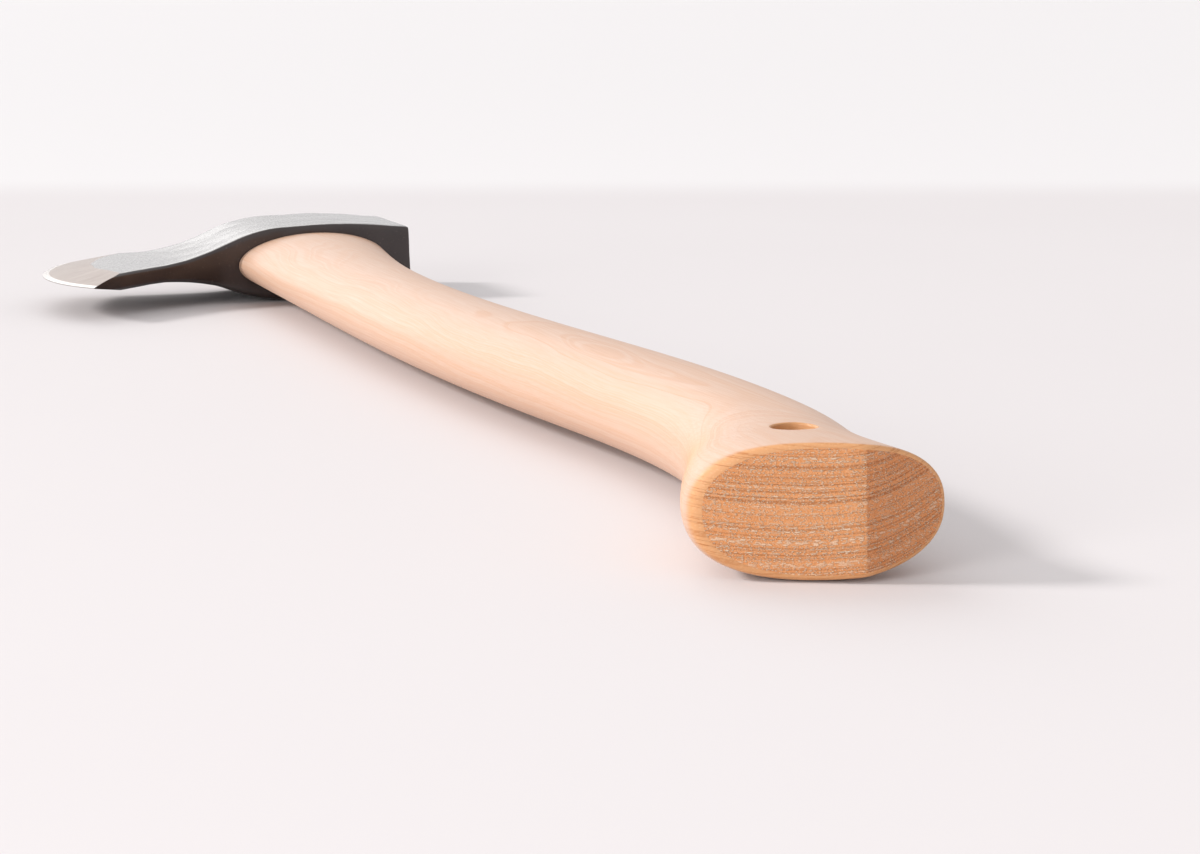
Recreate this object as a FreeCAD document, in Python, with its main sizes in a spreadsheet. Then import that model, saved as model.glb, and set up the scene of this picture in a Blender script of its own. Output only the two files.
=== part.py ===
import FreeCAD, Part
import os
import Sketcher

# A small forest hatchet, lying on its side. Millimetres.
# Frame: the origin is under the middle of the eye, on the plane of the lower cheek. +Y runs from the
# knob to the head, +X from the cutting edge to the poll, and +Z up, square to the cheeks.

SIZES = [
    # alias, value, what it is
    ("head_height", 46.0, "head, from its underside to its top, along the handle"),
    ("head_thickness", 27.0, "head across the cheeks at the eye"),
    ("poll_reach", 37.5, "eye centre to the poll's face"),
    ("poll_thickness", 21.6, "poll's face, across the cheeks"),
    ("cheek_flat_front", 8.2, "cheek's flat, from the eye centre towards the edge"),
    ("cheek_flat_back", 12.0, "cheek's flat, from the eye centre towards the poll"),
    ("cheek_waist", 29.0, "eye centre to where the cheek turns from convex to hollow"),
    ("web_start", 58.0, "eye centre to the web, the thin plate behind the ground edge"),
    ("web_thickness", 6.4, "web"),
    ("toe_reach", 82.6, "eye centre to the toe, across the handle"),
    ("toe_rise", 21.5, "eye centre up to the toe"),
    ("heel_reach", 84.0, "eye centre to the heel, across the handle"),
    ("heel_drop", 57.5, "eye centre down to the heel"),
    ("edge_radius", 70.0, "curve of the cutting edge"),
    ("bevel_width", 18.0, "ground bevel, from the edge to the web"),
    ("edge_thickness", 0.3, "the honed edge"),
    ("brow_start", 24.0, "eye centre to where the top line starts to dip"),
    ("brow_radius", 150.0, "dip of the top line towards the toe"),
    ("beard_start", 33.0, "eye centre to where the beard leaves the underside"),
    ("beard_radius", 90.0, "hollow of the beard"),
    ("forged_break", 1.0, "broken edges of the poll, the eye and the beard"),

    ("eye_length", 54.6, "eye at the underside, edge to poll"),
    ("eye_width", 21.0, "eye at the underside, cheek to cheek"),
    ("eye_top_length", 53.0, "tenon's top, edge to poll"),
    ("eye_top_width", 22.6, "tenon's top, cheek to cheek, spread by the wedge"),
    ("eye_offset", 0.5, "eye's middle towards the poll"),
    ("tenon_proud", 3.0, "tenon's end above the head"),
    ("tenon_chamfer", 1.2, "tenon's end"),

    ("handle_length", 476.8, "eye centre to the ridge of the sawn end"),
    ("knob_width", 51.4, "knob, where its blank ends"),
    ("knob_thickness", 26.8, "knob, where its blank ends"),
    ("knob_offset", -9.2, "knob's middle from the eye's axis"),
    ("swell_width", 44.6, "thick of the knob"),
    ("swell_thickness", 26.8, "thick of the knob, which lies on the ground with the head"),
    ("swell_offset", -8.4, "its middle"),
    ("neck_width", 38.4, "neck above the knob"),
    ("neck_thickness", 24.2, "neck above the knob"),
    ("neck_offset", -1.0, "neck's middle"),
    ("grip_width", 34.0, "grip, at its thinnest"),
    ("grip_thickness", 22.8, "grip, at its thinnest"),
    ("grip_offset", 4.6, "grip's middle"),
    ("waist_width", 35.6, "middle of the handle"),
    ("waist_thickness", 22.4, "middle of the handle"),
    ("waist_offset", -0.4, "its middle"),
    ("belly_width", 36.4, "belly of the handle"),
    ("belly_thickness", 21.8, "belly of the handle"),
    ("belly_offset", -6.0, "its middle"),
    ("throat_width", 41.0, "handle under the head"),
    ("throat_thickness", 21.4, "handle under the head"),
    ("throat_offset", -5.2, "its middle"),
    ("knob_overrun", 2.5, "blank's end beyond the ridge, before it is sawn"),
    ("swell_station", 22.3, "ridge of the sawn end to the thick of the knob"),
    ("neck_station", 44.5, "ridge to the neck"),
    ("grip_station", 79.5, "ridge to the grip"),
    ("waist_station", 175.5, "ridge to the handle's middle"),
    ("belly_station", 265.5, "ridge to the belly"),
    ("throat_station", 364.5, "ridge to the throat"),

    ("ridge_offset", -1.5, "ridge between the two sawn faces, from the eye's axis"),
    ("front_face_angle", 24.4, "wide sawn face, turned towards the edge side"),
    ("back_face_angle", 2.0, "narrow sawn face, turned towards the poll side"),
    ("rim_radius", 1.6, "rounding of the sawn end at its ridge"),
    ("rim_front_radius", 3.8, "rounding of the sawn end at its front"),
    ("lanyard_bore", 9.0, "lanyard hole"),
    ("lanyard_station", 22.1, "ridge to the lanyard hole"),
    ("lanyard_offset", -6.4, "lanyard hole from the eye's axis"),
    ("lanyard_edge", 0.8, "broken edge of the lanyard hole"),

    ("kerf_width", 1.6, "saw kerf in the tenon"),
    ("kerf_depth", 37.0, "saw kerf, from the top of the head"),
    ("wedge_depth", 31.0, "wooden wedge, from the top of the head"),
    ("wedge_thickness", 5.4, "wooden wedge, at the tenon's top"),
    ("ring_diameter", 15.0, "ring wedge, outside"),
    ("ring_wall", 1.8, "ring wedge"),
    ("ring_length", 14.0, "ring wedge"),
    ("ring_bite", 0.9, "sharpened lower rim of the ring wedge"),
]

doc = FreeCAD.newDocument("hatchet")
sizes = doc.addObject("Spreadsheet::Sheet", "sizes")
for row, (alias, value, note) in enumerate(SIZES, start=1):
    sizes.set(f"A{row}", note)
    sizes.set(f"B{row}", str(value))
    sizes.setAlias(f"B{row}", alias)
doc.recompute()

MID_PLANE = "sizes.head_thickness / 2"
HEAD_TOP = "sizes.head_height / 2"
HEAD_UNDERSIDE = "-sizes.head_height / 2"
TENON_TOP = "sizes.head_height / 2 + sizes.tenon_proud"
SAWN_END = "-sizes.handle_length"
TINY = 0.01   # how near two places are to count as one
STAND_UP = "rotation(vector(1; 0; 0); 90)"   # stands what is drawn in X and Y up into X and Z


def size(alias):
    return float(sizes.get(alias))


def bind(item, **expressions):
    """Bind properties of a document object to expressions on the sheet."""
    for name, expression in expressions.items():
        item.setExpression(name, expression)
    return item


def make(kind, name, **expressions):
    return bind(doc.addObject(kind, name), **expressions)


def combine(kind, name, base, tool):
    result = doc.addObject(kind, name)
    result.Base = base
    result.Tool = tool
    return result


def placed(x, y, z, turn="rotation(vector(0; 0; 1); 0)"):
    """A Placement as an expression."""
    return f"placement(vector({x}; {y}; {z}); {turn})"


# ---- outlines drawn as sketches

def number_of(result):
    return float(getattr(result, "Value", result))


def arc_middle(start, end, radius, bulge):
    """Middle of an arc between two points. A bulge of 1 lies left of the way from start to end, -1 right."""
    chord = end - start
    half = chord.Length / 2
    rise = radius - (radius * radius - half * half) ** 0.5
    left = FreeCAD.Vector(-chord.y, chord.x, 0) / chord.Length
    return (start + end) / 2 + left * (rise * bulge)


def end_number(sketch, index, place):
    """Which end of a stretch, 1 or 2, lies at that place."""
    near_first = sketch.getPoint(index, 1).distanceToPoint(place)
    near_second = sketch.getPoint(index, 2).distanceToPoint(place)
    return 1 if near_first < near_second else 2


def fix(sketch, constraint, expression):
    number = sketch.addConstraint(constraint)
    sketch.setExpression(f"Constraints[{number}]", expression)


def closed_sketch(name, corners, arcs):
    """A closed outline. Each corner is a pair of expressions. arcs maps a corner to the radius and the
    bulge of the arc that leaves it; every other stretch is straight."""
    sketch = doc.addObject("Sketcher::SketchObject", name)
    places = []
    for across, along in corners:
        x = number_of(sketch.evalExpression(across))
        y = number_of(sketch.evalExpression(along))
        places.append(FreeCAD.Vector(x, y, 0))
    following = places[1:] + places[:1]
    for index, (start, end) in enumerate(zip(places, following)):
        if index in arcs:
            radius, bulge = arcs[index]
            middle = arc_middle(start, end, number_of(sketch.evalExpression(radius)), bulge)
            sketch.addGeometry(Part.Arc(start, middle, end), False)
        else:
            sketch.addGeometry(Part.LineSegment(start, end), False)
    count = len(places)
    for index, (place, (across, along)) in enumerate(zip(places, corners)):
        leaves = end_number(sketch, index, place)
        before = (index - 1) % count
        arrives = end_number(sketch, before, place)
        sketch.addConstraint(Sketcher.Constraint("Coincident", before, arrives, index, leaves))
        fix(sketch, Sketcher.Constraint("DistanceX", -1, 1, index, leaves, place.x), across)
        fix(sketch, Sketcher.Constraint("DistanceY", -1, 1, index, leaves, place.y), along)
    for index, (radius, bulge) in arcs.items():
        fix(sketch, Sketcher.Constraint("Radius", index, sketch.Geometry[index].Radius), radius)
    return sketch


# ---- the tenon and the eye, which share one tapered oval

def cross_oval(name, width, thickness, offset, station):
    """An oval across the handle. Its seam is on the edge side."""
    return make("Part::Ellipse", name,
                MajorRadius=f"{width} / 2",
                MinorRadius=f"{thickness} / 2",
                Placement=placed(offset, station, MID_PLANE, f"{STAND_UP} * rotation(vector(0; 0; 1); 180)"))


def loft(name, ovals, ruled):
    result = doc.addObject("Part::Loft", name)
    result.Sections = ovals
    result.Solid = True
    result.Ruled = ruled
    result.MaxDegree = 3
    return result


def tenon():
    foot = cross_oval("eye_underside", "sizes.eye_length", "sizes.eye_width",
                      "sizes.eye_offset", HEAD_UNDERSIDE)
    top = cross_oval("eye_top", "sizes.eye_top_length", "sizes.eye_top_width",
                     "sizes.eye_offset", TENON_TOP)
    return loft("tenon", [foot, top], True), foot


def chamfered_tenon(whole):
    doc.recompute()
    top = size("head_height") / 2 + size("tenon_proud")
    result = doc.addObject("Part::Chamfer", "tenon_with_chamfer")
    result.Base = whole
    rim = [number for number, edge in enumerate(whole.Shape.Edges, start=1)
           if edge.BoundBox.YMin > top - TINY]
    result.Edges = [(number, size("tenon_chamfer"), size("tenon_chamfer")) for number in rim]
    return result


# ---- axe head

def head_outline():
    """Side view of the head: poll, top line, curved edge, beard and underside."""
    corners = [
        ("sizes.poll_reach", HEAD_UNDERSIDE),
        ("sizes.poll_reach", HEAD_TOP),
        ("-sizes.brow_start", HEAD_TOP),
        ("-sizes.toe_reach", "sizes.toe_rise"),
        ("-sizes.heel_reach", "-sizes.heel_drop"),
        ("-sizes.beard_start", HEAD_UNDERSIDE),
    ]
    arcs = {
        2: ("sizes.brow_radius", 1),
        3: ("sizes.edge_radius", -1),
        4: ("sizes.beard_radius", 1),
    }
    return closed_sketch("head_outline", corners, arcs)


def cheek_outline():
    """View along the handle: from the web, a hollow arc and then a convex one rise to the cheek's flat, and
    the cheek is straight from there to the poll. Both arcs have the same mean slope, so they meet smoothly."""
    slope = ("((sizes.head_thickness - sizes.web_thickness) / 2"
             " / (sizes.web_start - sizes.cheek_flat_front))")
    hollow_run = "(sizes.web_start - sizes.cheek_waist)"
    crown_run = "(sizes.cheek_waist - sizes.cheek_flat_front)"
    turn = f"(1 + pow({slope}; 2)) / (2 * {slope})"
    half_head = "sizes.head_thickness / 2"
    half_web = "sizes.web_thickness / 2"
    half_poll = "sizes.poll_thickness / 2"
    upper = [
        ("-sizes.toe_reach - sizes.edge_radius", half_web),
        ("-sizes.web_start", half_web),
        ("-sizes.cheek_waist", f"{half_web} + {slope} * {hollow_run}"),
        ("-sizes.cheek_flat_front", half_head),
        ("sizes.cheek_flat_back", half_head),
        ("sizes.poll_reach", half_poll),
    ]
    lower = [(across, f"-({along})") for across, along in reversed(upper)]
    arcs = {
        1: (f"{hollow_run} * {turn}", -1),
        2: (f"{crown_run} * {turn}", 1),
        8: (f"{crown_run} * {turn}", 1),
        9: (f"{hollow_run} * {turn}", -1),
    }
    return closed_sketch("cheek_outline", upper + lower, arcs)


# Centre of the curved edge, from its toe, heel and radius.
CHORD_X = "(sizes.heel_reach - sizes.toe_reach)"
CHORD_Y = "(sizes.toe_rise + sizes.heel_drop)"
CHORD = f"sqrt(pow({CHORD_X}; 2) + pow({CHORD_Y}; 2))"
SET_BACK = f"sqrt(pow(sizes.edge_radius; 2) - pow({CHORD} / 2; 2))"
EDGE_X = f"(-(sizes.toe_reach + sizes.heel_reach) / 2 + {SET_BACK} * {CHORD_Y} / {CHORD})"
EDGE_Y = f"((sizes.toe_rise - sizes.heel_drop) / 2 - {SET_BACK} * {CHORD_X} / {CHORD})"


def grinding_wheel():
    """What the grinder takes off above the upper bevel: a ring sector about the edge's centre."""
    slope = "((sizes.web_thickness - sizes.edge_thickness) / 2 / sizes.bevel_width)"
    past_edge = "sizes.bevel_width / 4"
    corners = [
        ("-(sizes.edge_radius - sizes.bevel_width)", "sizes.web_thickness / 2"),
        ("-(sizes.edge_radius - sizes.bevel_width)", "sizes.head_thickness"),
        (f"-(sizes.edge_radius + {past_edge})", "sizes.head_thickness"),
        (f"-(sizes.edge_radius + {past_edge})", f"sizes.edge_thickness / 2 - {slope} * {past_edge}"),
    ]
    profile = closed_sketch("bevel_outline", corners, {})
    bind(profile, Placement=placed("0", "0", "0", STAND_UP))
    wheel = doc.addObject("Part::Revolution", "upper_grind")
    wheel.Source = profile
    wheel.Axis = (0, 0, 1)
    wheel.Angle = 120
    wheel.Symmetric = True
    wheel.Solid = True
    return bind(wheel, Placement=placed(EDGE_X, EDGE_Y, MID_PLANE))


def extruded(name, sketch, direction, reach):
    """A sketch made solid, the same length to both sides."""
    result = doc.addObject("Part::Extrusion", name)
    result.Base = sketch
    result.DirMode = "Custom"
    result.Dir = direction
    result.Solid = True
    result.Symmetric = True
    return bind(result, LengthFwd=reach)


def axe_head(tenon_solid):
    outline = bind(head_outline(), Placement=placed("0", "0", MID_PLANE))
    plate = extruded("head_plate", outline, FreeCAD.Vector(0, 0, 1), "sizes.head_thickness * 2")
    cheeks = bind(cheek_outline(), Placement=placed("0", "0", MID_PLANE, STAND_UP))
    cheek_block = extruded("cheek_block", cheeks, FreeCAD.Vector(0, 1, 0),
                           "(sizes.head_height + sizes.heel_drop) * 4")
    forging = combine("Part::Common", "forging", plate, cheek_block)
    grind = grinding_wheel()
    lower_grind = doc.addObject("Part::Mirroring", "lower_grind")
    lower_grind.Source = grind
    lower_grind.Normal = (0, 0, 1)
    bind(lower_grind, **{"Base.z": MID_PLANE})
    ground_above = combine("Part::Cut", "ground_above", forging, grind)
    ground = combine("Part::Cut", "ground_blade", ground_above, lower_grind)
    doc.recompute()
    broken = doc.addObject("Part::Chamfer", "broken_head")
    broken.Base = ground
    broken.Edges = [(number, size("forged_break"), size("forged_break"))
                    for number in forged_edges(ground.Shape)]
    return combine("Part::Cut", "axe_head", broken, tenon_solid)


def forged_edges(shape):
    """Numbers of the edges round the poll, and along the head as far as the web."""
    chosen = []
    for number, edge in enumerate(shape.Edges, start=1):
        box = edge.BoundBox
        crosses_head = box.XLength < TINY and box.XMax < size("poll_reach") - TINY
        if box.XMin > -size("web_start") - TINY and not crosses_head:
            chosen.append(number)
    return chosen


# ---- handle

def handle_blank(eye_foot):
    """The shaped stick, still with its knob too long."""
    ovals = [cross_oval("knob_oval", "sizes.knob_width", "sizes.knob_thickness", "sizes.knob_offset",
                        f"{SAWN_END} - sizes.knob_overrun")]
    for place in ("swell", "neck", "grip", "waist", "belly", "throat"):
        ovals.append(cross_oval(f"{place}_oval", f"sizes.{place}_width", f"sizes.{place}_thickness",
                                f"sizes.{place}_offset", f"{SAWN_END} + sizes.{place}_station"))
    return loft("handle_blank", ovals + [eye_foot], False)


def saw_block(name, angle):
    """Takes away what lies beyond one sawn face. The face passes through the ridge."""
    reach = "sizes.knob_width"
    at_ridge = placed("sizes.ridge_offset", SAWN_END, MID_PLANE, f"rotation(vector(0; 0; 1); {angle})")
    beyond = placed(f"-2 * {reach}", f"-2 * {reach}", f"-{reach}")
    return make("Part::Box", name, Length=f"4 * {reach}", Width=f"2 * {reach}",
                Height=f"2 * {reach}", Placement=f"{at_ridge} * {beyond}")


def rim_fillets(shape):
    """Rounding of the sawn end: small beside the ridge, growing round the knob's front."""
    small = size("rim_radius")
    large = size("rim_front_radius")
    ridge = size("ridge_offset")
    thick_of_knob = size("swell_station") - size("handle_length")
    chosen = []
    for number, edge in enumerate(shape.Edges, start=1):
        is_ridge = edge.BoundBox.XLength < TINY
        if edge.BoundBox.YMax > thick_of_knob or is_ridge:
            continue
        first = edge.valueAt(edge.FirstParameter).x
        last = edge.valueAt(edge.LastParameter).x
        if min(first, last) > ridge - TINY:
            chosen.append((number, small, small))
        elif first < last:
            chosen.append((number, large, small))
        else:
            chosen.append((number, small, large))
    return chosen


def lanyard_hole():
    """A drilled hole with both mouths countersunk."""
    x = "sizes.lanyard_offset"
    y = f"{SAWN_END} + sizes.lanyard_station"
    drill = make("Part::Cylinder", "lanyard_drill", Radius="sizes.lanyard_bore / 2",
                 Height="2 * sizes.swell_thickness",
                 Placement=placed(x, y, f"{MID_PLANE} - sizes.swell_thickness"))
    mouths = []
    for name, way in (("upper_mouth", 1), ("lower_mouth", -1)):
        foot = f"{MID_PLANE} + {way} * (sizes.swell_thickness / 2 - sizes.lanyard_edge)"
        turn = f"rotation(vector(1; 0; 0); {90 - 90 * way})"
        mouths.append(make("Part::Cone", name, Radius1="sizes.lanyard_bore / 2",
                           Radius2="sizes.lanyard_bore / 2 + 2 * sizes.lanyard_edge",
                           Height="2 * sizes.lanyard_edge", Placement=placed(x, y, foot, turn)))
    hole = doc.addObject("Part::MultiFuse", "lanyard_hole")
    hole.Shapes = [drill] + mouths
    return hole


def handle(tenon_end, eye_foot, wedge, ring):
    stick = combine("Part::Fuse", "stick", handle_blank(eye_foot), tenon_end)
    front_sawn = combine("Part::Cut", "front_sawn", stick, saw_block("front_saw", "-sizes.front_face_angle"))
    sawn = combine("Part::Cut", "sawn", front_sawn, saw_block("back_saw", "sizes.back_face_angle"))
    doc.recompute()
    rounded = doc.addObject("Part::Fillet", "rounded_end")
    rounded.Base = sawn
    rounded.Edges = rim_fillets(sawn.Shape)
    drilled = combine("Part::Cut", "drilled", rounded, lanyard_hole())
    kerf = make("Part::Box", "saw_kerf", Length="2 * sizes.eye_length", Width="sizes.kerf_depth",
                Height="sizes.kerf_width",
                Placement=placed("-sizes.eye_length", f"{HEAD_TOP} - sizes.kerf_depth",
                                 f"{MID_PLANE} - sizes.kerf_width / 2"))
    slotted = combine("Part::Cut", "slotted", drilled, kerf)
    wedged = combine("Part::Cut", "wedged", slotted, wedge)
    return combine("Part::Cut", "handle", wedged, ring)


# ---- wedges

def wedge_blank():
    """The wooden wedge before it is driven: as thick as the kerf at its tip."""
    return make("Part::Wedge", "wedge_blank",
                Xmin="-sizes.eye_length", Xmax="sizes.eye_length",
                X2min="-sizes.eye_length", X2max="sizes.eye_length",
                Ymin=f"{HEAD_TOP} - sizes.wedge_depth", Ymax=TENON_TOP,
                Zmin="-sizes.kerf_width / 2", Zmax="sizes.kerf_width / 2",
                Z2min="-sizes.wedge_thickness / 2", Z2max="sizes.wedge_thickness / 2",
                Placement=placed("0", "0", MID_PLANE))


def ring_wedge():
    """A short steel tube, driven flush. Its lower rim is sharpened from the inside."""
    foot = placed("sizes.eye_offset", f"{TENON_TOP} - sizes.ring_length", MID_PLANE,
                  "rotation(vector(1; 0; 0); -90)")
    outside = make("Part::Cylinder", "ring_outside", Radius="sizes.ring_diameter / 2",
                   Height="sizes.ring_length", Placement=foot)
    inside = make("Part::Cylinder", "ring_inside", Radius="sizes.ring_diameter / 2 - sizes.ring_wall",
                  Height="sizes.ring_length", Placement=foot)
    bite = make("Part::Cone", "ring_bite_cone",
                Radius1="sizes.ring_diameter / 2 - sizes.ring_wall + sizes.ring_bite",
                Radius2="sizes.ring_diameter / 2 - sizes.ring_wall",
                Height="sizes.ring_bite * 3", Placement=foot)
    tube = combine("Part::Cut", "ring_tube", outside, inside)
    return combine("Part::Cut", "ring_wedge", tube, bite)


# ---- the hatchet

def build():
    tenon_solid, eye_foot = tenon()
    tenon_end = chamfered_tenon(tenon_solid)
    wedge_solid = wedge_blank()
    ring = ring_wedge()
    driven_wedge = combine("Part::Common", "driven_wedge", wedge_solid, tenon_end)
    return [
        axe_head(tenon_solid),
        handle(tenon_end, eye_foot, wedge_solid, ring),
        combine("Part::Cut", "wooden_wedge", driven_wedge, ring),
        ring,
    ]


pieces = build()
doc.recompute()

for item in doc.Objects:
    if "Invalid" in item.State or "Error" in item.State:
        raise RuntimeError(f"{item.Name} did not recompute: {item.State}")
os.makedirs("parts", exist_ok=True)
for piece in pieces:
    if piece.Shape.isNull() or not piece.Shape.isValid():
        raise RuntimeError(f"{piece.Label} has no valid shape")
    piece.Shape.exportStep(f"parts/{piece.Label}.step")
    print(piece.Label, len(piece.Shape.Solids), round(piece.Shape.Volume))
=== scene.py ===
import math

import bpy
import numpy as np
from mathutils import Matrix, Vector


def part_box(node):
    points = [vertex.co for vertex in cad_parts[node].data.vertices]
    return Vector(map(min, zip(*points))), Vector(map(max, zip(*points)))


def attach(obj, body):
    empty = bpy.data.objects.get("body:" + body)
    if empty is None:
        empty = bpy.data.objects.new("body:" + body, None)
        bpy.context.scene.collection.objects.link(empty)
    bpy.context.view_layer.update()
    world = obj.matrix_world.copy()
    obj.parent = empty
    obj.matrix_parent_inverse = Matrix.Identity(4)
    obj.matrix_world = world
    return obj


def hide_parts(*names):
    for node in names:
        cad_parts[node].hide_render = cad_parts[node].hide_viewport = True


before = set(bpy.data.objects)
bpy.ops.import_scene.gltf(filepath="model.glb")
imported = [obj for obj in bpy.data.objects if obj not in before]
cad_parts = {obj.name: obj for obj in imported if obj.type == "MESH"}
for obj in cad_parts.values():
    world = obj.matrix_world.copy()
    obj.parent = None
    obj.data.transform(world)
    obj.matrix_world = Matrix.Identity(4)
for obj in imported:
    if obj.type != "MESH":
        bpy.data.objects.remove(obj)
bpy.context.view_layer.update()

# ---- Axe head
# Drop-forged carbon steel, still black from the forge under a thin lacquer, with shallow hammer marks
# in both cheeks. The bevels are ground on a wheel that follows the curved edge, and the last
# millimetres are honed bright. It is driven onto the handle and held by the two wedges.

head_low, head_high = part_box("axe_head")
mid_plane = (head_low.z + head_high.z) / 2
head_bottom = -0.023
head_top = head_high.y
poll_face = head_high.x
poll_half = 0.0108
cheek_half = (head_high.z - head_low.z) / 2
cheek_flat = (-0.0082, 0.012)
cheek_waist = -0.029
web_start = -0.058
web_half = 0.0032
brow_start = -0.024
beard_start = -0.033
brow_centre, brow_radius = Vector((-0.05706, 0.16931)), 0.150
beard_centre, beard_radius = Vector((-0.01110, -0.11030)), 0.090
edge_centre = Vector((-0.02552, -0.01898))
edge_radius = 0.070
bevel_width = 0.018
edge_half = 0.00015
honed_width = 0.0024
hammer_depth = 0.0003
hammer_spacing = 0.011
blank_end = -0.0970
blank_steps = 30
wheel_spare = 0.03
spin_steps = 96
eye_sides = 128
past_end = 0.005
eye_middle = 0.0005
eye_foot = (0.0546, 0.0210)
eye_top = (0.0530, 0.0226)
tenon_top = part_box("handle")[1].y


def select_none():
    if bpy.context.mode == "EDIT_MESH":
        bpy.ops.mesh.select_all(action="DESELECT")
    else:
        bpy.ops.object.select_all(action="DESELECT")


def pick(piece):
    """Make a piece the only selected and the active one."""
    select_none()
    piece.select_set(True)
    bpy.context.view_layer.objects.active = piece


def added(name):
    """Name the primitive just added, and put its place and turn into its mesh."""
    piece = bpy.context.object
    piece.name = name
    piece.data.name = name
    bpy.ops.object.transform_apply(location=True, rotation=True, scale=True)
    return piece


def modify(piece, kind, **settings):
    """Add a modifier and apply it."""
    pick(piece)
    modifier = piece.modifiers.new(kind.title(), kind)
    for name, value in settings.items():
        setattr(modifier, name, value)
    bpy.ops.object.modifier_apply(modifier=modifier.name)


def edit(piece, kind="FACE"):
    pick(piece)
    bpy.ops.object.mode_set(mode="EDIT")
    bpy.ops.mesh.select_mode(type=kind)


def leave_edit():
    bpy.ops.object.mode_set(mode="OBJECT")


def choose_faces(piece, wanted):
    """Select the faces for which wanted(face) holds, and go back to edit mode."""
    edit(piece)
    select_none()
    leave_edit()
    for face in piece.data.polygons:
        face.select = wanted(face)
    bpy.ops.object.mode_set(mode="EDIT")


def face_outwards(piece):
    edit(piece)
    bpy.ops.mesh.select_all(action="SELECT")
    bpy.ops.mesh.normals_make_consistent(inside=False)
    leave_edit()


def push_and_size(step, about, factors):
    """Extrude what is selected by a step, then resize its new end about a point."""
    bpy.ops.mesh.extrude_region_move(TRANSFORM_OT_translate={"value": step})
    bpy.ops.transform.resize(value=factors, center_override=about)


def s_curve(x):
    """Half thickness of the head: straight from the poll, flat over the eye, then crowned and hollow."""
    if x > cheek_flat[1]:
        share = (x - cheek_flat[1]) / (poll_face - cheek_flat[1])
        return cheek_half + (poll_half - cheek_half) * share
    slope = (cheek_half - web_half) / (cheek_flat[0] - web_start)
    turn = (1 + slope * slope) / (2 * slope)
    if x > cheek_waist:
        crown = (cheek_flat[0] - cheek_waist) * turn
        run = max(cheek_flat[0] - x, 0)
        return cheek_half - crown + math.sqrt(crown * crown - run * run)
    hollow = (cheek_waist - web_start) * turn
    run = max(x - web_start, 0)
    return web_half + hollow - math.sqrt(hollow * hollow - run * run)


def top_line(x):
    if x > brow_start:
        return head_top
    return brow_centre.y - math.sqrt(brow_radius ** 2 - (x - brow_centre.x) ** 2)


def bottom_line(x):
    if x > beard_start:
        return head_bottom
    return beard_centre.y + math.sqrt(beard_radius ** 2 - (x - beard_centre.x) ** 2)


def forging():
    """The head before grinding: the poll's face, drawn out towards the edge in equal steps."""
    bpy.ops.mesh.primitive_grid_add(x_subdivisions=5, y_subdivisions=10, size=1,
                                    location=(poll_face, 0, mid_plane), rotation=(0, math.pi / 2, 0))
    head = added("forged_head")
    edit(head)
    bpy.ops.mesh.select_all(action="SELECT")
    bpy.ops.transform.resize(value=(1, head_top - head_bottom, 2 * poll_half),
                             center_override=(poll_face, 0, mid_plane))
    stride = (poll_face - blank_end) / blank_steps
    x = poll_face
    for _ in range(blank_steps):
        middle = (top_line(x) + bottom_line(x)) / 2
        height = top_line(x) - bottom_line(x)
        half = s_curve(x)
        x -= stride
        new_middle = (top_line(x) + bottom_line(x)) / 2
        push_and_size((-stride, new_middle - middle, 0), (x, new_middle, mid_plane),
                      (1, (top_line(x) - bottom_line(x)) / height, s_curve(x) / half))
    leave_edit()
    face_outwards(head)
    modify(head, "BEVEL", limit_method="ANGLE", angle_limit=math.radians(50), width=0.0011, segments=2)
    modify(head, "SUBSURF", levels=2, render_levels=2)
    hammer = bpy.data.textures.new("hammer_marks", "VORONOI")
    hammer.noise_scale = hammer_spacing
    hammer.distance_metric = "DISTANCE_SQUARED"
    modify(head, "DISPLACE", texture=hammer, strength=-hammer_depth, mid_level=0.0)
    return head


def spun(name, outline, centre, axis, sweep, closed):
    """A closed outline, spun about an axis through a centre. All the way round, it needs no end faces."""
    bpy.ops.mesh.primitive_circle_add(vertices=len(outline), fill_type="NOTHING" if closed else "NGON")
    piece = added(name)
    for vertex, corner in zip(piece.data.vertices, outline):
        vertex.co = corner
    edit(piece)
    bpy.ops.mesh.select_all(action="SELECT")
    bpy.ops.mesh.spin(steps=spin_steps, angle=sweep, axis=axis, center=centre)
    bpy.ops.mesh.select_all(action="SELECT")
    bpy.ops.mesh.remove_doubles(threshold=1e-6)
    leave_edit()
    face_outwards(piece)
    return piece


def grinding_wheel():
    """A ring with a V groove, spun about the edge's centre: what it covers is ground away."""
    inner = edge_radius - bevel_width
    outer = edge_radius + wheel_spare
    profile = [(inner, web_half), (edge_radius, edge_half), (edge_radius, -edge_half), (inner, -web_half),
               (inner, -wheel_spare), (outer, -wheel_spare), (outer, wheel_spare), (inner, wheel_spare)]
    sweep = math.radians(172)
    start = Vector((-math.cos(sweep / 2), -math.sin(sweep / 2), 0))
    centre = Vector((edge_centre.x, edge_centre.y, mid_plane))
    outline = [centre + start * reach + Vector((0, 0, height)) for reach, height in profile]
    return spun("grinding_wheel", outline, centre, (0, 0, 1), sweep, False)


def eye_oval(y):
    """Length and width of the tapered eye at a height along the handle."""
    share = (y - head_bottom) / (tenon_top - head_bottom)
    return [low + (high - low) * share for low, high in zip(eye_foot, eye_top)]


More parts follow.
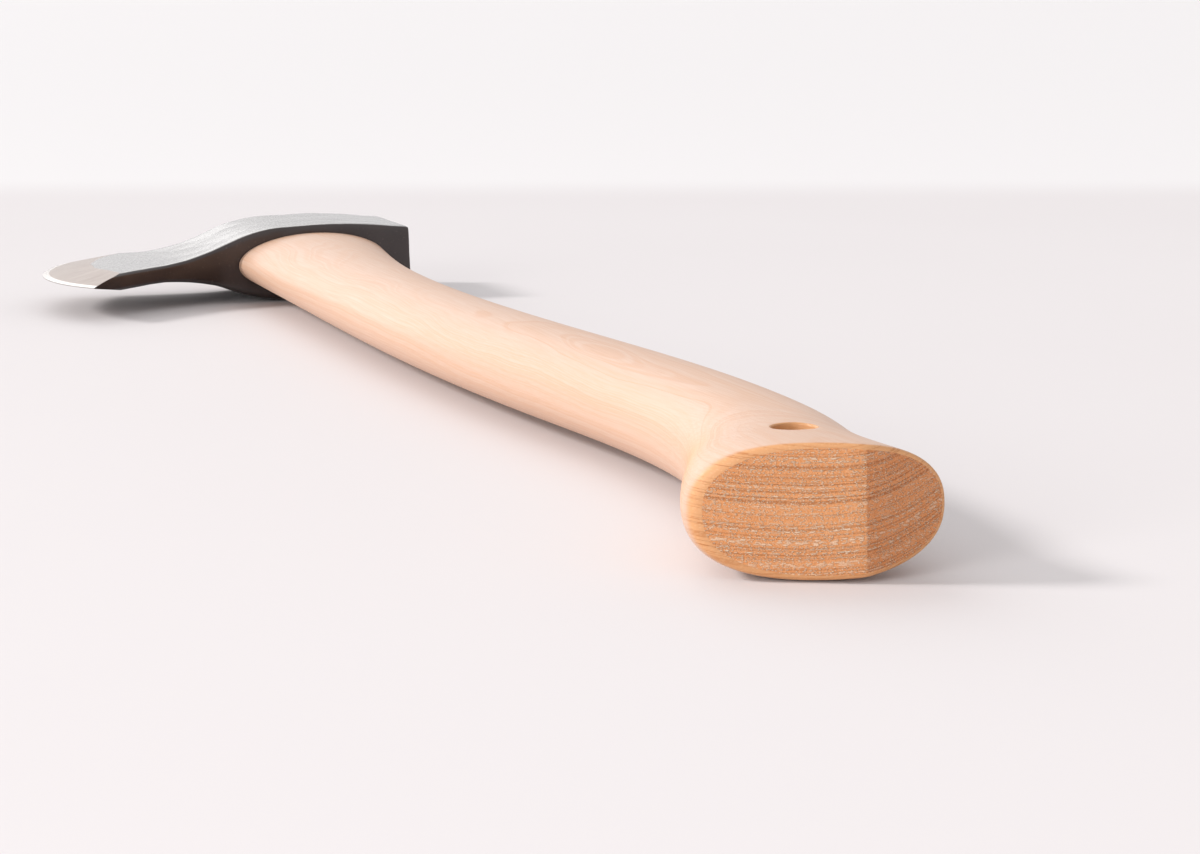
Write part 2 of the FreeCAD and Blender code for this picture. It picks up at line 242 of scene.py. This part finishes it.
def eye_plug(name, low, high, spare):
    """The tapered oval that fills the eye, between two heights, a little smaller all round by spare."""
    bpy.ops.mesh.primitive_circle_add(vertices=eye_sides, radius=0.5, fill_type="NGON",
                                      location=(eye_middle, low, mid_plane), rotation=(math.pi / 2, 0, 0))
    plug = added(name)
    edit(plug)
    bpy.ops.mesh.select_all(action="SELECT")
    length, width = eye_oval(low)
    bpy.ops.transform.resize(value=(length - spare, 1, width - spare),
                             center_override=(eye_middle, low, mid_plane))
    top_length, top_width = eye_oval(high)
    push_and_size((0, high - low, 0), (eye_middle, high, mid_plane),
                  ((top_length - spare) / (length - spare), 1, (top_width - spare) / (width - spare)))
    leave_edit()
    face_outwards(plug)
    return plug


def cut_away(piece, *tools):
    """Cut tools out of a piece. The walls they leave take the tools' own materials."""
    for tool in tools:
        modify(piece, "BOOLEAN", operation="DIFFERENCE", solver="EXACT", object=tool,
               material_mode="TRANSFER")
        bpy.data.objects.remove(tool)


def wire(tree, kind, inputs, **settings):
    """Add a node, set its options, and feed its inputs with values or with other nodes' outputs."""
    node = tree.nodes.new(kind)
    for name, value in settings.items():
        setattr(node, name, value)
    for name, value in inputs.items():
        if isinstance(value, bpy.types.NodeSocket):
            tree.links.new(value, node.inputs[name])
        else:
            node.inputs[name].default_value = value
    return node


def result(tree, operation, *values):
    """What a Math node makes of some values."""
    return wire(tree, "ShaderNodeMath", dict(enumerate(values)), operation=operation).outputs[0]


def ramped(tree, value, low, high, to_low=0.0, to_high=1.0):
    """Map a value smoothly from one range to another."""
    return wire(tree, "ShaderNodeMapRange",
                {"Value": value, "From Min": low, "From Max": high, "To Min": to_low, "To Max": to_high},
                interpolation_type="SMOOTHSTEP").outputs[0]


def blended(tree, share, first, second, kind="MIX"):
    """Two colours mixed by a share."""
    return wire(tree, "ShaderNodeMix", {0: share, 6: first, 7: second}, data_type="RGBA",
                blend_type=kind).outputs[2]


def noise(tree, place, scale, detail=3.0, rough=0.5):
    """Soft noise, in the scale of the place that it is given."""
    return wire(tree, "ShaderNodeTexNoise",
                {"Vector": place, "Scale": scale, "Detail": detail, "Roughness": rough}).outputs[0]


def stretched(tree, place, scale):
    """A place scaled along each axis."""
    return wire(tree, "ShaderNodeVectorMath", {0: place, 1: scale}, operation="MULTIPLY").outputs[0]


def new_group(name, inputs, outputs):
    """A shader node group with named sockets, and its tree's input and output nodes."""
    group = bpy.data.node_groups.new(name, "ShaderNodeTree")
    for label, kind in inputs.items():
        group.interface.new_socket(name=label, in_out="INPUT", socket_type=kind)
    for label, kind in outputs.items():
        group.interface.new_socket(name=label, in_out="OUTPUT", socket_type=kind)
    return group, group.nodes.new("NodeGroupInput").outputs, group.nodes.new("NodeGroupOutput")


def new_material(name, **surface):
    """A material, its tree, its shader with plain values set, and the place in millimetres."""
    material = bpy.data.materials.new(name)
    material.use_nodes = True
    tree = material.node_tree
    shader = tree.nodes["Principled BSDF"]
    for label, value in surface.items():
        shader.inputs[label.replace("_", " ")].default_value = value
    place = tree.nodes.new("ShaderNodeTexCoord").outputs["Object"]
    return material, tree, shader, stretched(tree, place, (1000, 1000, 1000))


def feed(tree, shader, **sources):
    for label, source in sources.items():
        tree.links.new(source, shader.inputs[label.replace("_", " ")])


def raised(tree, height, distance):
    """A bump from a height between 0 and 1, as high as a distance in metres."""
    return wire(tree, "ShaderNodeBump", {"Height": height, "Distance": distance}).outputs[0]


def forge_scale():
    """Black, faintly brown oxide with pits and rubbed spots, under a thin uneven lacquer."""
    material, tree, shader, place = new_material("forge_scale", Metallic=0.85, Coat_Weight=1.0,
                                                 Coat_Roughness=0.2)
    broad = noise(tree, place, 0.07, 4)
    fine = noise(tree, place, 0.9, 6, 0.65)
    pits = wire(tree, "ShaderNodeTexVoronoi", {"Vector": place, "Scale": 0.55}).outputs["Distance"]
    colour = blended(tree, broad, (0.016, 0.010, 0.010, 1), (0.042, 0.028, 0.026, 1))
    spots = ramped(tree, fine, 0.58, 0.72)
    colour = blended(tree, result(tree, "MULTIPLY", spots, 0.5), colour, (0.085, 0.060, 0.050, 1))
    rough = ramped(tree, fine, 0.3, 0.7, 0.30, 0.48)
    relief = result(tree, "ADD", result(tree, "MULTIPLY", ramped(tree, pits, 0.0, 0.3), 0.4), fine)
    feed(tree, shader, Base_Color=colour, Roughness=rough, Normal=raised(tree, relief, 0.00003))
    return material


def ground_steel():
    """The bevels: grinding lines across the edge, grey-brown from oil, and bright where it is honed."""
    material, tree, shader, place = new_material("ground_steel", Metallic=1.0)
    from_centre = wire(tree, "ShaderNodeVectorMath",
                       {0: place, 1: (edge_centre.x * 1000, edge_centre.y * 1000, mid_plane * 1000)},
                       operation="SUBTRACT").outputs[0]
    flat = stretched(tree, from_centre, (1, 1, 0))
    radius = wire(tree, "ShaderNodeVectorMath", {0: flat}, operation="LENGTH").outputs[1]
    split = wire(tree, "ShaderNodeSeparateXYZ", {0: flat}).outputs
    angle = result(tree, "ARCTAN2", split[1], split[0])
    sweep = wire(tree, "ShaderNodeCombineXYZ",
                 {0: result(tree, "MULTIPLY", angle, 260.0), 1: result(tree, "MULTIPLY", radius, 0.06)}
                 ).outputs[0]
    lines = noise(tree, sweep, 1.0, 4, 0.7)
    stain = noise(tree, place, 0.12, 4)
    honed_from = (edge_radius - honed_width) * 1000
    honed = ramped(tree, radius, honed_from, honed_from + 0.4)
    oiled = blended(tree, stain, (0.24, 0.19, 0.17, 1), (0.35, 0.30, 0.27, 1))
    streaked = blended(tree, ramped(tree, lines, 0.35, 0.7), oiled, (0.20, 0.165, 0.15, 1))
    colour = blended(tree, honed, streaked, (0.50, 0.47, 0.45, 1))
    rough = result(tree, "SUBTRACT", ramped(tree, lines, 0.3, 0.7, 0.34, 0.48),
                   result(tree, "MULTIPLY", honed, 0.16))
    feed(tree, shader, Base_Color=colour, Roughness=rough, Normal=raised(tree, lines, 0.00002))
    return material


head = forging()
head.data.materials.append(forge_scale())
wheel = grinding_wheel()
wheel.data.materials.append(ground_steel())
cut_away(head, wheel)
eye = eye_plug("eye", head_bottom - past_end, tenon_top + past_end, 0)
eye.data.materials.append(bpy.data.materials["forge_scale"])
cut_away(head, eye)
ground_slot = head.data.materials.find("ground_steel")
choose_faces(head, lambda face: face.material_index == ground_slot)
bpy.ops.mesh.region_to_loop()
bpy.ops.mesh.mark_sharp()
leave_edit()
pick(head)
bpy.ops.object.shade_smooth_by_angle(angle=math.radians(35))
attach(head, "root")
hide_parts("axe_head")

# ---- Handle
# One curved stick of ring-porous hardwood, shaped on a copying lathe, sanded and waxed. The knob is
# swelled so that it can't slip out of the hand. Its end is sawn in two facets that meet in a ridge and
# is left rough, and a lanyard hole is drilled through. The other end is the tenon in the head's eye.

sawn_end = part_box("handle")[0].y
# Ovals across the handle: distance from the sawn end's ridge, middle, width and thickness.
ovals = np.array([
    (-0.0025, -0.0092, 0.0514, 0.0268),
    (0.0223, -0.0084, 0.0446, 0.0268),
    (0.0445, -0.0010, 0.0384, 0.0242),
    (0.0795, 0.0046, 0.0340, 0.0228),
    (0.1755, -0.0004, 0.0356, 0.0224),
    (0.2655, -0.0060, 0.0364, 0.0218),
    (0.3645, -0.0052, 0.0410, 0.0214),
    (head_bottom - sawn_end, eye_middle, *eye_foot),
])
ridge = Vector((-0.0015, sawn_end, mid_plane))
front_face_turn = math.radians(24.4)
back_face_turn = math.radians(2)
rim_front, rim_back = 0.0034, 0.0010
rim_run = 0.033
fullness = 0.38
square_rings = 90
last_square_ring = 0.0235
slanted_rings = 8
rim_rings = 6
ring_gap = 0.001
lanyard = Vector((-0.0064, sawn_end + 0.0221, mid_plane))
lanyard_radius = 0.0045
around = 96


def bends(stations, values):
    """Second derivatives of the natural cubic curve through values at stations."""
    gaps = np.diff(stations)
    slopes = np.diff(values, axis=0) / gaps[:, None]
    count = len(stations)
    rows = np.eye(count)
    right = np.zeros_like(values)
    for k in range(1, count - 1):
        rows[k, k - 1:k + 2] = gaps[k - 1], 2 * (gaps[k - 1] + gaps[k]), gaps[k]
        right[k] = 6 * (slopes[k] - slopes[k - 1])
    return np.linalg.solve(rows, right)


oval_bends = bends(ovals[:, 0], ovals[:, 1:])


def oval_at(along):
    """Middle, width and thickness of the handle at a distance from the ridge."""
    k = int(np.clip(np.searchsorted(ovals[:, 0], along) - 1, 0, len(ovals) - 2))
    gap = ovals[k + 1, 0] - ovals[k, 0]
    far = (along - ovals[k, 0]) / gap
    near = 1 - far
    return (near * ovals[k, 1:] + far * ovals[k + 1, 1:]
            + ((near ** 3 - near) * oval_bends[k] + (far ** 3 - far) * oval_bends[k + 1]) * gap * gap / 6)


def stick():
    """The turned stick: an oval, drawn out ring by ring from the tenon's foot to the knob's end. The last
    rings are still square to it, one ring_gap apart."""
    length = ovals[-1, 0]
    places = list(np.linspace(length, last_square_ring, square_rings))
    places += [last_square_ring - ring_gap * (k + 1) for k in range(slanted_rings + rim_rings)]
    bpy.ops.mesh.primitive_circle_add(vertices=around, radius=0.5, fill_type="NGON",
                                      location=(eye_middle, head_bottom, mid_plane),
                                      rotation=(math.pi / 2, 0, 0))
    handle = added("turned_handle")
    edit(handle)
    bpy.ops.mesh.select_all(action="SELECT")
    middle, width, thickness = oval_at(length)
    bpy.ops.transform.resize(value=(width, 1, thickness), center_override=(middle, head_bottom, mid_plane))
    before = length
    for along in places[1:]:
        new_middle, new_width, new_thickness = oval_at(along)
        push_and_size((new_middle - middle, along - before, 0),
                      (new_middle, sawn_end + along, mid_plane),
                      (new_width / width, 1, new_thickness / thickness))
        before, middle, width, thickness = along, new_middle, new_width, new_thickness
    leave_edit()
    return handle


def facet_at(x):
    """How far from the ridge, towards the head, the sawn end lies."""
    back = ridge.x - x
    return back * math.tan(front_face_turn if back > 0 else -back_face_turn)


def rim_at(x):
    """Rounding of the sawn end's rim: small at the ridge and behind it, growing towards the front."""
    share = min(max((ridge.x - x) / rim_run, 0), 1)
    return rim_back + (rim_front - rim_back) * share ** 2.6


def fill_out(handle):
    """Make the ovals fuller towards the knob. Slant the last rings until they follow the two sawn facets,
    and turn the very last ones inwards, which rounds the rim. There, a point's place along the handle and
    the oval at that place depend on each other, and five rounds settle them."""
    for vertex in handle.data.vertices:
        along = vertex.co.y - sawn_end
        middle, width, thickness = oval_at(along)
        across = 2 * (vertex.co.x - middle) / width
        up = 2 * (vertex.co.z - mid_plane) / thickness
        power = 2 + fullness * (1 - min(max(along / ovals[-1, 0], 0), 1) ** 0.5)
        fuller = (abs(across) ** power + abs(up) ** power) ** (-1 / power)
        across, up = across * fuller, up * fuller
        ring = round((last_square_ring - along) / ring_gap)
        place, inset = along, 0
        rounds = 5 if ring > 0 else 0
        for _ in range(rounds):
            outline_x = middle + across * width / 2
            rim = rim_at(outline_x)
            turn = max(ring - slanted_rings, 0) / rim_rings * math.pi / 2
            inset = rim * (1 - math.cos(turn))
            outwards = Vector((abs(across) ** (power - 1) * math.copysign(1, across) / width,
                               abs(up) ** (power - 1) * math.copysign(1, up) / thickness)).normalized()
            end = facet_at(outline_x - inset * outwards.x) + rim * (1 - math.sin(turn))
            share = min(ring / slanted_rings, 1)
            place = last_square_ring + share * (end - last_square_ring)
            middle, width, thickness = oval_at(place)
        x, z = middle + across * width / 2, mid_plane + up * thickness / 2
        if inset:
            x, z = x - inset * outwards.x, z - inset * outwards.y
        vertex.co = (x, sawn_end + place, z)


def draw_tenon(handle):
    """Go on from the foot of the tenon through the eye, and break the tenon's edge."""
    choose_faces(handle, lambda face: face.normal.y > 0.99 and face.center.y > head_bottom - 0.001)
    foot_length, foot_width = eye_oval(head_bottom)
    top_length, top_width = eye_oval(tenon_top)
    push_and_size((0, tenon_top - head_bottom, 0), (eye_middle, tenon_top, mid_plane),
                  (top_length / foot_length, 1, top_width / foot_width))
    bpy.ops.mesh.bevel(offset=0.0012, segments=3, affect="EDGES")
    leave_edit()


def crease_ridge(handle):
    """Put the ridge between the facets across the end: its two ends are the rim points nearest to it."""
    mesh = handle.data
    caps = [face for face in mesh.polygons if face.loop_total == around]
    cap = min(caps, key=lambda face: face.center.y)
    rim = list(cap.vertices)
    for side in (1, -1):
        half = [i for i in rim if (mesh.vertices[i].co.z - mid_plane) * side > 0]
        nearest = min(half, key=lambda i: abs(mesh.vertices[i].co.x - ridge.x))
        mesh.vertices[nearest].co.x = ridge.x
        mesh.vertices[nearest].co.y = ridge.y
        rim.append(nearest)
    edit(handle, "VERT")
    select_none()
    leave_edit()
    for i in rim[-2:]:
        mesh.vertices[i].select = True
    bpy.ops.object.mode_set(mode="EDIT")
    bpy.ops.mesh.vert_connect()
    leave_edit()


def is_facet(face):
    return face.normal.y < -0.9 and face.area > 1e-4


def drill_lanyard_hole(handle, wall):
    """Drill the hole, and break the edges of both its mouths."""
    bpy.ops.mesh.primitive_cylinder_add(vertices=64, radius=lanyard_radius, depth=0.04, location=lanyard)
    drill = added("lanyard_drill")
    drill.data.materials.append(wall)
    cut_away(handle, drill)
    slot = handle.data.materials.find(wall.name)
    choose_faces(handle, lambda face: face.material_index == slot)
    bpy.ops.mesh.region_to_loop()
    bpy.ops.mesh.bevel(offset=0.0005, segments=3, affect="EDGES", material=slot)
    leave_edit()


def wood_grain():
    """Ring-porous wood as a solid: growth rings about a pith beside the handle, with rows of pores in the
    early wood and fibres along the handle. Rings is 1 in early wood, Late is 1 at a ring's dense end."""
    group, given, out = new_group(
        "ring_porous_grain", {"Place": "NodeSocketVector", "Wander": "NodeSocketFloat"},
        {"Rings": "NodeSocketFloat", "Late": "NodeSocketFloat", "Pores": "NodeSocketFloat",
         "Fibres": "NodeSocketFloat", "Tone": "NodeSocketFloat"})
    place = given["Place"]
    drift = noise(group, stretched(group, place, (0.030, 0.010, 0.030)), 1.0, 2)
    offset = result(group, "MULTIPLY", result(group, "SUBTRACT", drift, 0.5), given["Wander"])
    split = wire(group, "ShaderNodeSeparateXYZ", {0: place}).outputs
    pith = (-14.0, 123.5)
    ring_spacing = 2.3
    across = result(group, "SUBTRACT", split[0], pith[0])
    behind = result(group, "MAXIMUM", result(group, "ADD", split[0], 1.5), 0.0)
    curl = result(group, "MULTIPLY", result(group, "MULTIPLY", behind, behind), -0.012)
    height = result(group, "ADD", split[2], result(group, "ADD", offset, curl))
    up = result(group, "SUBTRACT", height, pith[1])
    lean = result(group, "MULTIPLY", split[1], 0.012)
    radius = result(group, "SQRT", result(group, "ADD", result(group, "MULTIPLY", across, across),
                                          result(group, "MULTIPLY", up, up)))
    depth = result(group, "ADD", radius, lean)
    uneven = wire(group, "ShaderNodeTexNoise",
                  {"W": result(group, "MULTIPLY", depth, 0.16), "Detail": 1.0},
                  noise_dimensions="1D").outputs[0]
    count = result(group, "ADD", result(group, "DIVIDE", depth, ring_spacing),
                   result(group, "MULTIPLY", uneven, 2.6))
    phase = result(group, "FRACT", count)
    ring = wire(group, "ShaderNodeTexWhiteNoise", {"W": result(group, "FLOOR", count)},
                noise_dimensions="1D").outputs[0]
    rise = ramped(group, phase, 0.0, 0.06)
    fall = ramped(group, phase, 0.26, 0.46, 1.0, 0.0)
    early = result(group, "MULTIPLY", result(group, "MULTIPLY", rise, fall),
                   ramped(group, ring, 0.0, 1.0, 0.45, 1.0))
    late = result(group, "MULTIPLY", ramped(group, phase, 0.55, 0.97),
                  ramped(group, phase, 0.97, 1.0, 1.0, 0.0))
    cells = wire(group, "ShaderNodeTexVoronoi",
                 {"Vector": stretched(group, place, (0.85, 0.05, 1.9)), "Scale": 1.0}).outputs["Distance"]
    small = wire(group, "ShaderNodeTexVoronoi",
                 {"Vector": stretched(group, place, (1.6, 0.08, 2.5)), "Scale": 1.0}).outputs["Distance"]
    large_pores = result(group, "MULTIPLY", ramped(group, cells, 0.34, 0.56, 1.0, 0.0), early)
    fine_pores = result(group, "MULTIPLY", ramped(group, small, 0.22, 0.44, 1.0, 0.0), 0.6)
    pores = result(group, "MAXIMUM", large_pores, fine_pores)
    fibres = noise(group, stretched(group, place, (2.2, 0.05, 2.2)), 1.0, 4, 0.6)
    tone = noise(group, stretched(group, place, (0.05, 0.008, 0.05)), 1.0, 2)
    for label, source in (("Rings", early), ("Late", late), ("Pores", pores), ("Fibres", fibres),
                          ("Tone", tone)):
        group.links.new(source, out.inputs[label])


def grained(name, wander, **surface):
    """A wood material, with the grain group placed in it."""
    material, tree, shader, place = new_material(name, **surface)
    grain = wire(tree, "ShaderNodeGroup", {}, node_tree=bpy.data.node_groups["ring_porous_grain"])
    tree.links.new(place, grain.inputs["Place"])
    grain.inputs["Wander"].default_value = wander
    return material, tree, shader, place, grain.outputs


def waxed_wood():
    """The shaped and waxed surface: pale along the grain, and honey-coloured where it cuts across it."""
    material, tree, shader, _, grain = grained("waxed_wood", 9.0, Coat_Weight=0.08,
                                               Coat_Roughness=0.3, Specular_IOR_Level=0.35)
    normal = tree.nodes.new("ShaderNodeTexCoord").outputs["Normal"]
    facing = wire(tree, "ShaderNodeSeparateXYZ", {0: normal}).outputs[1]
    across = ramped(tree, result(tree, "ABSOLUTE", facing), 0.14, 0.6)
    pale = blended(tree, grain["Tone"], (0.61, 0.405, 0.298, 1), (0.665, 0.455, 0.347, 1))
    along = blended(tree, result(tree, "MULTIPLY", grain["Rings"], 0.6), pale, (0.60, 0.325, 0.19, 1))
    along = blended(tree, result(tree, "MULTIPLY", grain["Late"], 0.35), along, (0.62, 0.35, 0.21, 1))
    fibred = blended(tree, ramped(tree, grain["Fibres"], 0.35, 0.75, 0.0, 0.3), along,
                     (0.62, 0.37, 0.23, 1))
    end = blended(tree, grain["Rings"], (0.70, 0.35, 0.155, 1), (0.50, 0.19, 0.06, 1))
    end = blended(tree, result(tree, "MULTIPLY", grain["Pores"], 0.35), end, (0.86, 0.55, 0.30, 1))
    colour = blended(tree, across, fibred, end)
    rough = ramped(tree, grain["Fibres"], 0.3, 0.7, 0.42, 0.55)
    relief = result(tree, "SUBTRACT", result(tree, "MULTIPLY", grain["Fibres"], 0.6), grain["Pores"])
    feed(tree, shader, Base_Color=colour, Roughness=rough, Normal=raised(tree, relief, 0.00003))
    return material


def sawn_wood():
    """The sawn end: brown, torn fibres, with pale dust in the pores of each ring, and painted shade
    darkening the facet behind the ridge.
    """
    material, tree, shader, place, grain = grained("sawn_wood", 3.0, Roughness=0.8,
                                                   Specular_IOR_Level=0.25)
    torn = noise(tree, place, 2.6, 5, 0.7)
    ground = blended(tree, grain["Tone"], (0.82, 0.32, 0.11, 1), (0.93, 0.42, 0.18, 1))
    ground = blended(tree, result(tree, "MULTIPLY", grain["Late"], 0.75), ground, (0.44, 0.15, 0.05, 1))
    ground = blended(tree, ramped(tree, torn, 0.46, 0.62, 0.0, 0.5), ground, (0.92, 0.58, 0.36, 1))
    # Painted shade: the facet behind the ridge, which faces away from the light, is multiplied darker than
    # the front facet.
    ridge_mm = ridge.x * 1000
    behind = ramped(tree, wire(tree, "ShaderNodeSeparateXYZ", {0: place}).outputs[0],
                    ridge_mm - 0.2, ridge_mm + 0.2)
    colour = blended(tree, grain["Pores"], ground, (1.0, 0.77, 0.57, 1))
    colour = blended(tree, result(tree, "MULTIPLY", behind, 0.8), colour, (0.74, 0.64, 0.60, 1),
                     "MULTIPLY")
    relief = result(tree, "ADD", torn, result(tree, "MULTIPLY", grain["Pores"], 0.8))
    feed(tree, shader, Base_Color=colour, Normal=raised(tree, relief, 0.0004))
    return material


def drilled_wood():
    """The hole's wall, burnished brown by the drill."""
    material, tree, shader, place, grain = grained("drilled_wood", 3.0, Coat_Weight=0.1)
    colour = blended(tree, grain["Rings"], (0.62, 0.30, 0.12, 1), (0.42, 0.17, 0.06, 1))
    turns = noise(tree, stretched(tree, place, (0.4, 0.4, 5.0)), 1.0, 3)
    feed(tree, shader, Base_Color=blended(tree, ramped(tree, turns, 0.4, 0.7, 0.0, 0.4), colour,
                                          (0.70, 0.38, 0.18, 1)),
         Roughness=ramped(tree, turns, 0.3, 0.7, 0.4, 0.6), Normal=raised(tree, turns, 0.0001))
    return material


handle = stick()
fill_out(handle)
crease_ridge(handle)
draw_tenon(handle)
face_outwards(handle)
wood_grain()
handle.data.materials.append(waxed_wood())
handle.data.materials.append(sawn_wood())
sawn_slot = handle.data.materials.find("sawn_wood")
for face in handle.data.polygons:
    if is_facet(face):
        face.material_index = sawn_slot
choose_faces(handle, lambda face: face.material_index == sawn_slot)
bpy.ops.mesh.region_to_loop()
bpy.ops.mesh.mark_sharp()
leave_edit()
drill_lanyard_hole(handle, drilled_wood())
pick(handle)
bpy.ops.object.shade_smooth_by_angle(angle=math.radians(40))
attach(handle, "root")
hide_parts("handle")

# ---- Wooden wedge
# A thin tapered board of the same hardwood, glued and driven into the saw kerf in the tenon. It spreads
# the tenon against the eye, and is sawn off level with it, so only its end grain shows.

kerf_half = 0.0008
wedge_half = 0.0027
wedge_tip = head_top - 0.031
blank_length = 0.07


def wedge_blank(name):
    """A tapered board across the tenon, as thick as the saw kerf at its tip."""
    bpy.ops.mesh.primitive_cube_add(size=1, location=(eye_middle, (wedge_tip + tenon_top) / 2, mid_plane),
                                    scale=(blank_length, tenon_top - wedge_tip, 2 * kerf_half))
    blank = added(name)
    choose_faces(blank, lambda face: face.normal.y > 0.9)
    bpy.ops.transform.resize(value=(1, 1, wedge_half / kerf_half),
                             center_override=(eye_middle, tenon_top, mid_plane))
    leave_edit()
    return blank


def wedge_wood():
    """Plain sawn wood, browner than the handle, with dark pores."""
    material, tree, shader, place, grain = grained("wedge_wood", 3.0, Roughness=0.75)
    turned = stretched(tree, place, (1.0, 1.0, 1.6))
    speckle = wire(tree, "ShaderNodeTexVoronoi", {"Vector": turned, "Scale": 1.6}).outputs["Distance"]
    ground = blended(tree, grain["Tone"], (0.47, 0.27, 0.14, 1), (0.58, 0.36, 0.20, 1))
    colour = blended(tree, ramped(tree, speckle, 0.1, 0.35, 0.5, 0.0), ground, (0.26, 0.13, 0.06, 1))
    feed(tree, shader, Base_Color=colour, Normal=raised(tree, speckle, 0.0001))
    return material


cut_away(handle, wedge_blank("wedge_room"))
wedge = eye_plug("split_wedge", wedge_tip, tenon_top, 0.0001)
board = wedge_blank("wedge_board")
modify(wedge, "BOOLEAN", operation="INTERSECT", solver="EXACT", object=board)
bpy.data.objects.remove(board)
wedge.data.materials.clear()
wedge.data.materials.append(wedge_wood())
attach(wedge, "root")
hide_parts("wooden_wedge")

# ---- Ring wedge
# A short turned tube of mild steel, driven into the tenon's end across the wooden wedge. Its lower rim is
# sharpened from the inside, so that it bites outwards. The wood inside it stays, level with its top.

ring_radius = 0.0075
ring_wall = 0.0018
ring_inside = ring_radius - ring_wall
ring_length = 0.014
ring_bite = 0.0009


def turned(name, outline):
    """An outline of distances from the ring's axis and heights over the tenon's end, turned all round."""
    corners = [(eye_middle + reach, tenon_top + height, mid_plane) for reach, height in outline]
    return spun(name, corners, (eye_middle, 0, mid_plane), (0, 1, 0), 2 * math.pi, True)


def steel_tube():
    ring = turned("steel_ring", [(ring_inside, 0), (ring_radius, 0), (ring_radius, -ring_length),
                                 (ring_inside + ring_bite, -ring_length),
                                 (ring_inside, -ring_length + 3 * ring_bite)])
    modify(ring, "BEVEL", limit_method="ANGLE", angle_limit=math.radians(20), width=0.0002, segments=2)
    return ring


def ring_room():
    """What the ring cuts out of the wood: as wide as its wall, and open at the tenon's end."""
    return turned("ring_room", [(ring_inside, past_end), (ring_radius, past_end),
                                (ring_radius, -ring_length), (ring_inside, -ring_length)])


def turned_steel():
    """Bright steel with fine turning lines round its axis, dulled by handling."""
    material, tree, shader, place = new_material("turned_steel", Metallic=1.0)
    from_axis = wire(tree, "ShaderNodeVectorMath", {0: place, 1: (eye_middle * 1000, 0, mid_plane * 1000)},
                     operation="SUBTRACT").outputs[0]
    radius = wire(tree, "ShaderNodeVectorMath", {0: stretched(tree, from_axis, (1, 0, 1))},
                  operation="LENGTH").outputs[1]
    lines = noise(tree, wire(tree, "ShaderNodeCombineXYZ", {0: radius}).outputs[0], 9.0, 3)
    dull = noise(tree, place, 0.5, 4)
    feed(tree, shader, Base_Color=blended(tree, dull, (0.42, 0.40, 0.38, 1), (0.60, 0.59, 0.58, 1)),
         Roughness=ramped(tree, dull, 0.3, 0.7, 0.28, 0.45), Normal=raised(tree, lines, 0.00002))
    return material


ring = steel_tube()
for wood in (handle, wedge):
    cut_away(wood, ring_room())
    pick(wood)
    bpy.ops.object.shade_smooth_by_angle(angle=math.radians(40))
ring.data.materials.append(turned_steel())
pick(ring)
bpy.ops.object.shade_smooth_by_angle(angle=math.radians(40))
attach(ring, "root")
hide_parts("ring_wedge")

# ---- Table
# A plain pale table, a little paler far behind the head. The hatchet lies on a cheek and leans a little
# onto its blade, so the table is set at that lean and touches its lowest point.

lean = 0.027
away = (0.346, 0.938, 0)
paler_from, paler_to = 400, 560
table_normal = Vector((lean, 0, 1)).normalized()
lowest = min(table_normal.dot(corner.co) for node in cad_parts.values()
             for corner in node.data.vertices)
bpy.ops.mesh.primitive_plane_add(size=120, location=table_normal * lowest,
                                 rotation=(0, math.atan(lean), 0))
table = added("table")

material, tree, shader, place = new_material("table_white", Roughness=0.8, Specular_IOR_Level=0.15)
mottle = noise(tree, place, 0.004, 2)
pale = blended(tree, mottle, (0.742, 0.704, 0.712, 1), (0.763, 0.728, 0.735, 1))
far = wire(tree, "ShaderNodeVectorMath", {0: place, 1: away}, operation="DOT_PRODUCT").outputs[1]
feed(tree, shader, Base_Color=blended(tree, ramped(tree, far, paler_from, paler_to), pale,
                                      (0.825, 0.803, 0.81, 1)))
table.data.materials.append(material)

# ---- Light and view
# A soft sun from the left throws the knob's shadow to the right, and a broad pale light behind the head
# throws a faint one forwards. A lamp at the front left fills the sawn end. The room is white all round.

scene = bpy.context.scene
scene.view_settings.view_transform = "Standard"
world = bpy.data.worlds.new("white_room")
scene.world = world
world.use_nodes = True
sky = world.node_tree.nodes["Background"]
rays = wire(world.node_tree, "ShaderNodeLightPath", {}).outputs
seen = result(world.node_tree, "MAXIMUM", rays["Is Camera Ray"], rays["Is Glossy Ray"])
feed(world.node_tree, sky, Color=blended(world.node_tree, seen, (0.60, 0.60, 0.605, 1),
                                         (0.95, 0.94, 0.945, 1)))


def lamp(name, kind, place, aim, power, **settings):
    """A lamp at a place, turned to an aim."""
    light = bpy.data.lights.new(name, kind)
    light.energy = power
    light.color = (1.0, 0.985, 0.97)
    for label, value in settings.items():
        setattr(light, label, value)
    holder = bpy.data.objects.new(name, light)
    scene.collection.objects.link(holder)
    holder.location = place
    holder.rotation_euler = (Vector(aim) - Vector(place)).to_track_quat("-Z", "Y").to_euler()


lamp("left_sun", "SUN", (-0.786, 0.317, 0.530), (0, 0, 0), 2.0, angle=math.radians(11))
lamp("back_sky", "SUN", (-0.15, 0.80, 0.58), (0, 0, 0), 0.9, angle=math.radians(55))
lamp("front_lamp", "AREA", (-1.25, -1.10, 0.45), (0, -0.45, 0), 9.0, shape="DISK", size=0.7)

camera = bpy.data.objects.new("camera", bpy.data.cameras.new("camera"))
scene.collection.objects.link(camera)
camera.data.lens = 72
camera.data.sensor_width = 36
eye_place = ridge + Vector((-0.1993, -0.4006, 0.1031))
roll, turn, tilt = math.radians(1.55), math.radians(-20.27), math.radians(79.67)
camera.matrix_world = (Matrix.Translation(eye_place) @ Matrix.Rotation(roll, 4, "Y")
                       @ Matrix.Rotation(turn, 4, "Z") @ Matrix.Rotation(tilt, 4, "X"))
scene.camera = camera
